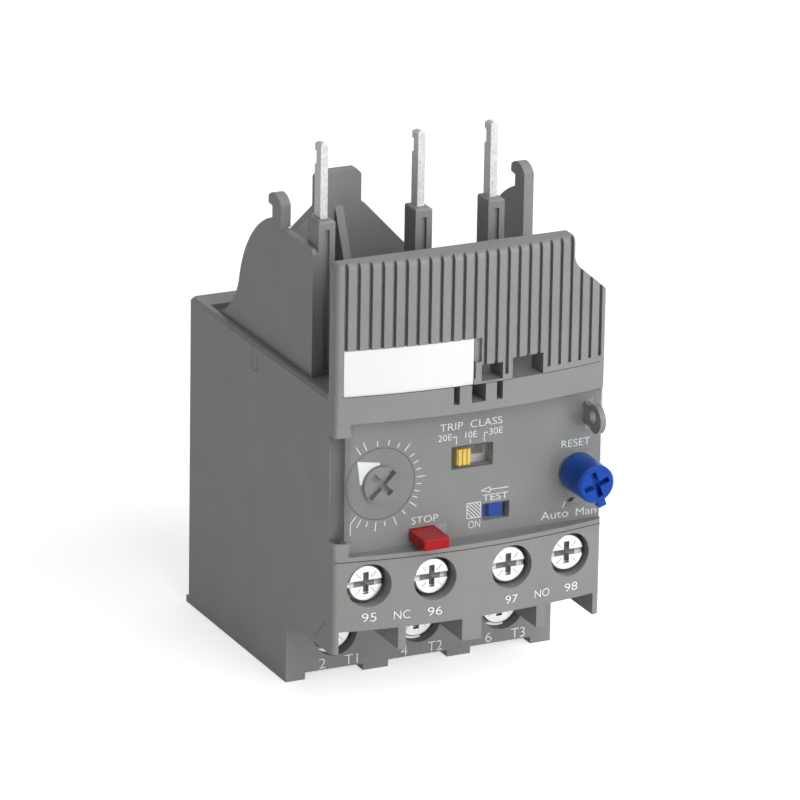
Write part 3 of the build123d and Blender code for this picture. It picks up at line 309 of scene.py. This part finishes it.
# Terminal marking on the auxiliary block and the power block, as spans of x and z
AUX_MARKS = {
    "95": ((-17.95, -15.65), (15.2, 16.6)),
    "NC": ((-12.95, -10.35), (15.15, 16.5)),
    "96": ((-7.55, -5.2), (15.1, 16.45)),
    "97": ((5.4, 7.5), (15.1, 16.4)),
    "NO": ((10.5, 13.15), (15.15, 16.4)),
    "98": ((15.9, 18.25), (15.1, 16.4)),
}
for text, (x_span, z_span) in AUX_MARKS.items():
    lettering(f"mark_{text}", text, x_span, z_span)

POWER_MARK_Z = (1.35, 2.95)
POWER_MARKS = {"2": (-16.9, -15.8), "T1": (-12.6, -10.4), "4": (-3.1, -2.0), "T2": (1.5, 3.9),
               "6": (11.3, 12.4), "T3": (15.7, 18.1)}
for text, x_span in POWER_MARKS.items():
    lettering(f"mark_{text}", text, x_span, POWER_MARK_Z, POWER_FRONT_F)

# Words and numbers on the panel
PANEL_MARKS = {
    "TRIP  CLASS": ((-4.55, 5.81), (43.0, 44.15)),
    "20E": ((-4.82, -2.6), (41.45, 42.45)),
    "10E": ((-0.3, 1.6), (41.4, 42.4)),
    "30E": ((3.65, 5.95), (41.45, 42.45)),
    "ON": ((0.46, 2.44), (26.85, 28.05)),
    "TEST": ((2.79, 7.05), (30.9, 31.95)),
    "STOP": ((-9.01, -4.62), (28.9, 30.0)),
    "RESET": ((15.9, 20.7), (37.6, 38.75)),
    "Auto": ((12.7, 17.3), (26.4, 27.7)),
    "Man": ((18.6, 22.0), (26.3, 27.5)),
}
for text, (x_span, z_span) in PANEL_MARKS.items():
    label = text.replace("  ", "_").lower()
    lettering(f"print_{label}", text, x_span, z_span, PANEL_F)

# Scale round the dial, with a tail down from its last tick; angles in degrees from +x
DIAL_CENTRE = Vector((-14.33, 36.16))
TICK_ANGLES = (122.9, 112.4, 94.8, 78, 62.6, 49.6, 36.2, 24.3, 13.3, 2.2, -7.7, -17.8, -26.4, -36.1,
               -51.9, -67.8, -82.3, -95.7, -109, -120.3, -130)
LONG_TICKS = (122.9, 112.4, 49.6, 2.2, -36.1, -67.8, -95.7, -120.3, -130)
TICK_START, TICK_END, LONG_TICK_END = 6.05, 6.9, 7.5
TAIL_DROP, TICK_WIDTH = 1.9, 0.12


def on_dial(angle, radius):
    """Point on the dial's face."""
    turn = math.radians(angle)
    return DIAL_CENTRE + radius * Vector((math.cos(turn), math.sin(turn)))


ticks = []
for angle in TICK_ANGLES:
    tick_end = LONG_TICK_END if angle in LONG_TICKS else TICK_END
    ticks.append(stroke(on_dial(angle, TICK_START), on_dial(angle, tick_end), TICK_WIDTH))
tail = on_dial(TICK_ANGLES[-1], LONG_TICK_END)
ticks.append(stroke(tail, tail - Vector((0, TAIL_DROP)), TICK_WIDTH))
print_mesh("print_dial_scale", ticks, PANEL_F)

# Leaders from 20E, 10E and 30E to the selector, and from Auto to the knob
LEADER_WIDTH = 0.11
LEADER_LINES = (
    ((-2.4, 41.85), (-1.78, 41.85)), ((-1.78, 41.85), (-1.78, 40.6)),
    ((0.55, 41.15), (0.55, 40.55)),
    ((3.5, 41.9), (2.85, 41.9)), ((2.85, 41.9), (2.85, 40.5)),
    ((16.75, 28.9), (16.3, 27.95)),
)
leaders = [stroke(start, end, LEADER_WIDTH) for start, end in LEADER_LINES]
print_mesh("print_leaders", leaders, PANEL_F)

# Arrow over TEST, with an open head
ARROW_Z, SHAFT_WIDTH, HEAD_LINE, HEAD_HALF = 32.66, 0.13, 0.11, 0.42
HEAD_TIP, HEAD_END, SHAFT_START, SHAFT_END = 2.5, 4.0, 3.9, 7.1
head = [(HEAD_TIP, ARROW_Z), (HEAD_END, ARROW_Z + HEAD_HALF), (HEAD_END, ARROW_Z - HEAD_HALF)]
arrow = [stroke((SHAFT_START, ARROW_Z), (SHAFT_END, ARROW_Z), SHAFT_WIDTH)]
arrow += closed_line(head, HEAD_LINE)
print_mesh("print_test_arrow", arrow, PANEL_F)

# Hatched box over ON: its lines fall to the right, and a shorter one than SHORTEST is left out
HATCH_X, HATCH_Z, HATCH_LINE = (0.2, 2.45), (28.5, 30.9), 0.12
HATCH_COUNT, HATCH_START, HATCH_PITCH, SHORTEST = 7, -1.42, 0.58, 0.2
hatch = closed_line(rectangle(HATCH_X, HATCH_Z), HATCH_LINE)
for i in range(HATCH_COUNT):
    offset = HATCH_START + i * HATCH_PITCH
    x, z = HATCH_X[0] + max(0.0, offset), HATCH_Z[1] - max(0.0, -offset)
    run = min(HATCH_X[1] - x, z - HATCH_Z[0])
    if run > SHORTEST:
        hatch.append(stroke((x, z), (x + run, z - run), HATCH_LINE))
print_mesh("print_on_hatch", hatch, PANEL_F)

# White pointer on the dial: a tip and two shoulders, hollowed round the hub
POINTER_ANGLE, POINTER_HALF_ANGLE, HOLLOW_STEPS = 133.6, 42, 10
TIP_RADIUS, SHOULDER_RADIUS, HOLLOW_RADIUS = 5.55, 3.35, 3.0
first, last = POINTER_ANGLE - POINTER_HALF_ANGLE, POINTER_ANGLE + POINTER_HALF_ANGLE
pointer = [on_dial(POINTER_ANGLE, TIP_RADIUS), on_dial(first, SHOULDER_RADIUS)]
for i in range(HOLLOW_STEPS + 1):
    pointer.append(on_dial(first + (last - first) * i / HOLLOW_STEPS, HOLLOW_RADIUS))
pointer.append(on_dial(last, SHOULDER_RADIUS))
print_mesh("dial_pointer", [pointer], PANEL_F, "setting_dial")

# Painted shade: dark lines in the gaps round the dial and the class slot, and a dark spot beside
# the reset knob
RING_RADIUS, RING_STEPS, RING_LINE = 5.66, 60, 0.09
ring = [on_dial(360 / RING_STEPS * i, RING_RADIUS) for i in range(RING_STEPS)]
SLOT_X, SLOT_Z, SLOT_LINE = (-2.5, 4.29), (36.75, 40.2), 0.16
SHADE_SPOT = [(17.0, 29.05), (17.75, 29.45), (18.35, 29.3), (17.9, 28.75), (17.2, 28.7)]
PAINTED_SHADE_SHAPES = {
    "dial_gap_shade": closed_line(ring, RING_LINE),
    "slot_gap_shade": closed_line(rectangle(SLOT_X, SLOT_Z), SLOT_LINE),
    "knob_spot_shade": [SHADE_SPOT],
}
for name, outlines in PAINTED_SHADE_SHAPES.items():
    print_mesh(name, outlines, PANEL_F, "relay_body", groove_shade)

# Screw drives: x of the screws, then their z, the head's depth behind its wall, radius and height
AUX_SCREWS = {"95": -16.8, "96": -6.4, "97": 6.4, "98": 16.8}
POWER_SCREWS = {"1": -14.2, "2": 0.0, "3": 14.2}
AUX_Z, AUX_RECESS, AUX_RADIUS, AUX_HEIGHT = 20.95, 1.3, 2.9, 1.8
POWER_Z, POWER_RECESS, POWER_RADIUS, POWER_HEIGHT = 6.8, 1.2, 3.15, 2.24
# Depth of the recess as a share of the head's height, and the other sizes as shares of its radius
RECESS_DEPTH, ARM_HALF_WIDTH, ARM_REACH = 0.4, 0.155, 0.58
SLOT_END_AT, SLOT_END_HALF, MARK_FROM, MARK_TO = 0.77, 0.19, 0.42, 0.8
CROSS_LIFT, MARK_LINE = 0.03, 0.1


def screw_drive(screw, x, z, head_f, radius, height):
    """Painted shade of one screw's drive recess, and the slanted marks round its head."""
    bottom_f = head_f + RECESS_DEPTH * height
    half, arm = ARM_HALF_WIDTH * radius, ARM_REACH * radius
    quarter = [(half, -arm), (half, -half), (arm, -half)]
    cross = []
    for _ in range(4):
        cross += [(x + u, z + w) for u, w in quarter]
        quarter = [(-w, u) for u, w in quarter]
    # Painted shade: a dark cross at the bottom of the recess
    print_mesh(f"{screw}_cross", [cross], bottom_f - CROSS_LIFT, screw, drive_shade)
    # Painted shade: lighter grey at the two ends of the slot
    shaded_ends = []
    for side in (-1, 1):
        middle, reach = x + side * SLOT_END_AT * radius, SLOT_END_HALF * radius
        shaded_ends.append(rectangle((middle - reach, middle + reach), (z - half, z + half)))
    print_mesh(f"{screw}_slot", shaded_ends, bottom_f, screw, slot_shade)
    # The slanted marks are the head's real tick marks, drawn in the slot ends' grey
    centre, marks = Vector((x, z)), []
    for angle in (45, 135, 225, 315):
        outward = radius * Vector((math.cos(math.radians(angle)), math.sin(math.radians(angle))))
        marks.append(stroke(centre + MARK_FROM * outward, centre + MARK_TO * outward, MARK_LINE))
    print_mesh(f"{screw}_ticks", marks, head_f, screw, slot_shade)


for number, x in AUX_SCREWS.items():
    screw_drive(f"aux_screw_{number}", x, AUX_Z, bow_f(x) + AUX_RECESS, AUX_RADIUS, AUX_HEIGHT)
for pole, x in POWER_SCREWS.items():
    head_f = POWER_FRONT_F + POWER_RECESS
    screw_drive(f"power_screw_{pole}", x, POWER_Z, head_f, POWER_RADIUS, POWER_HEIGHT)

# Dark parting lines on the bow, under the grille and over the terminal block, as spans of x
SEAM_STEP, SEAM_PROUD, SEAM_DEPTH = 2, 0.012, 0.03
HEADER_SPANS = ((-21.4, -3.96), (-2.98, -1.02), (1.31, 3.14), (4.16, 5.76), (11.06, 21.4))
HEADER_Z, HEADER_HALF = 51.07, 0.05
BLOCK_SPANS = ((-22.2, 22.2),)
BLOCK_Z, BLOCK_HALF = 24.95, 0.07


def groove_piece(name, quads, inward):
    """Dark lines on the mouldings, from their corner points in mm and a vector into the wall."""
    prisms = []
    for corners in quads:
        back = [place(*(a + b for a, b in zip(corner, inward))) for corner in corners]
        prisms.append(([place(*corner) for corner in corners], back))
    return prism_piece(name, prisms, groove_shade, "relay_body")


def bowed_seam(name, spans, z, half_height):
    """Thin level line on the bow, in straight pieces about SEAM_STEP long."""
    low, high = z - half_height, z + half_height
    quads = []
    for left, right in spans:
        steps = max(1, round((right - left) / SEAM_STEP))
        xs = [left + (right - left) * i / steps for i in range(steps + 1)]
        fs = [bow_f(x) - SEAM_PROUD for x in xs]
        for a, b, f_a, f_b in zip(xs, xs[1:], fs, fs[1:]):
            quads.append([(a, f_a, low), (b, f_b, low), (b, f_b, high), (a, f_a, high)])
    return groove_piece(name, quads, (0, SEAM_DEPTH, 0))


bowed_seam("header_seam", HEADER_SPANS, HEADER_Z, HEADER_HALF)
bowed_seam("block_seam", BLOCK_SPANS, BLOCK_Z, BLOCK_HALF)

# Mould marks on the left side, as f, z points: the outline of a hook and a slanted line at the foot
HOOK_MARK = ((29.6, 50.3), (29.6, 46.9), (28.9, 46.3), (28.1, 46.3), (27.5, 46.9), (27.5, 48.6))
FOOT_MARK = ((5.8, 11.2), (2.4, 14.8))
SIDE_LINE, SIDE_PROUD, SIDE_DEPTH = 0.09, 0.008, 0.02
side_marks = []
for start, end in [*zip(HOOK_MARK, HOOK_MARK[1:]), FOOT_MARK]:
    side_marks.append([(-HALF_WIDTH - SIDE_PROUD, f, z) for f, z in stroke(start, end, SIDE_LINE)])
groove_piece("side_mould_marks", side_marks, (SIDE_DEPTH, 0, 0))

# Springs of the stop button and the reset plunger, copied as coils on the relay body: joint and
# travel
SPRINGS = {"stop_spring": ("stop_push", 2.0), "reset_spring": ("reset_push", 1.8)}
for spring_name, (joint, travel) in SPRINGS.items():
    spring = nodes[spring_name]
    coil = bpy.data.objects.new(f"{spring_name}_coil", spring.data.copy())
    scene.collection.objects.link(coil)
    coil.matrix_world = spring.matrix_world
    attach(coil, "relay_body")
    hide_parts(spring_name)
    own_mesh(coil)

# Camera, solved from the photograph: angles in degrees, lengths in mm
AZIMUTH, ELEVATION, ROLL = math.radians(-25.755), math.radians(19.432), math.radians(0.972)
DISTANCE, SHIFT_RIGHT, SHIFT_UP, AIM_Z = 1063.67, -10.23, 21.51, 24.973
LENS, SENSOR_WIDTH = 318.2, 36
level_back = Vector((math.sin(AZIMUTH), -math.cos(AZIMUTH), 0))
back = math.cos(ELEVATION) * level_back + Vector((0, 0, math.sin(ELEVATION)))
level_right = Vector((math.cos(AZIMUTH), math.sin(AZIMUTH), 0))
level_up = back.cross(level_right)
right = math.cos(ROLL) * level_right + math.sin(ROLL) * level_up
up = -math.sin(ROLL) * level_right + math.cos(ROLL) * level_up
eye = back * DISTANCE + right * SHIFT_RIGHT + up * SHIFT_UP
camera = bpy.data.objects.new("camera", bpy.data.cameras.new("camera"))
camera.data.lens = LENS
camera.data.sensor_width = SENSOR_WIDTH
camera.data.sensor_fit = "HORIZONTAL"
camera.data.clip_start = 0.01
axes = Matrix((right, up, back)).transposed().to_4x4()
camera.matrix_world = Matrix.Translation(place(eye.x, eye.y, eye.z + AIM_Z)) @ axes
scene.collection.objects.link(camera)
scene.camera = camera


def background_rays(node_tree):
    """1 for rays that see the background: from the camera, in gloss or through clear plastic."""
    path = node_tree.nodes.new("ShaderNodeLightPath")
    seen = path.outputs["Is Camera Ray"]
    for kind in ("Is Glossy Ray", "Is Transmission Ray"):
        either = node_tree.nodes.new("ShaderNodeMath")
        either.operation = "MAXIMUM"
        node_tree.links.new(seen, either.inputs[0])
        node_tree.links.new(path.outputs[kind], either.inputs[1])
        seen = either.outputs[0]
    return seen


# White floor, lifted to the background's white for the rays that see it
FLOOR_HALF, FLOOR_LIFT = 3.0, 0.6
floor_corners = rectangle((-FLOOR_HALF, FLOOR_HALF), (-FLOOR_HALF, FLOOR_HALF))
floor_mesh = bpy.data.meshes.new("floor")
floor_mesh.from_pydata([(x, y, 0) for x, y in floor_corners], [], [(0, 1, 2, 3)])
floor = bpy.data.objects.new("floor", floor_mesh)
scene.collection.objects.link(floor)
floor_material, floor_tree, floor_shader = new_material("floor_white", (0.92, 0.92, 0.92), 0.9)
floor_shader.inputs["Emission Color"].default_value = (1, 1, 1, 1)
floor_level = floor_tree.nodes.new("ShaderNodeMath")
floor_level.operation = "MULTIPLY"
floor_level.inputs[1].default_value = FLOOR_LIFT
floor_tree.links.new(background_rays(floor_tree), floor_level.inputs[0])
floor_tree.links.new(floor_level.outputs[0], floor_shader.inputs["Emission Strength"])
floor.data.materials.append(floor_material)

# Square area lights aimed at the middle of the relay: place and side in metres, power in watts
LIGHT_AIM = Vector((0, 0, 0.04))
LIGHTS = {
    "key": ((0.3, -0.8, 0.55), 1.1, 10.6),
    "fill": ((0.3, -0.95, 0.08), 0.7, 1.7),
    "top": ((0.1, 0.2, 0.9), 0.6, 1.6),
}
for name, (position, side, power) in LIGHTS.items():
    data = bpy.data.lights.new(name, "AREA")
    data.size = side
    data.energy = power
    light = bpy.data.objects.new(name, data)
    scene.collection.objects.link(light)
    light.location = position
    direction = LIGHT_AIM - Vector(position)
    light.rotation_euler = direction.to_track_quat("-Z", "Y").to_euler()

# Even background: dim for the light it gives, white where it is seen
AMBIENT, WHITE = (0.09, 0.09, 0.092, 1), (1, 1, 1, 1)
world = bpy.data.worlds.new("studio")
scene.world = world
world.use_nodes = True
tree = world.node_tree
mix = tree.nodes.new("ShaderNodeMix")
mix.data_type = "RGBA"
mix.inputs["A"].default_value = AMBIENT
mix.inputs["B"].default_value = WHITE
tree.links.new(background_rays(tree), mix.inputs["Factor"])
tree.links.new(mix.outputs["Result"], tree.nodes["Background"].inputs["Color"])
tree.nodes["Background"].inputs["Strength"].default_value = 1.0
scene.view_settings.view_transform = "Standard"
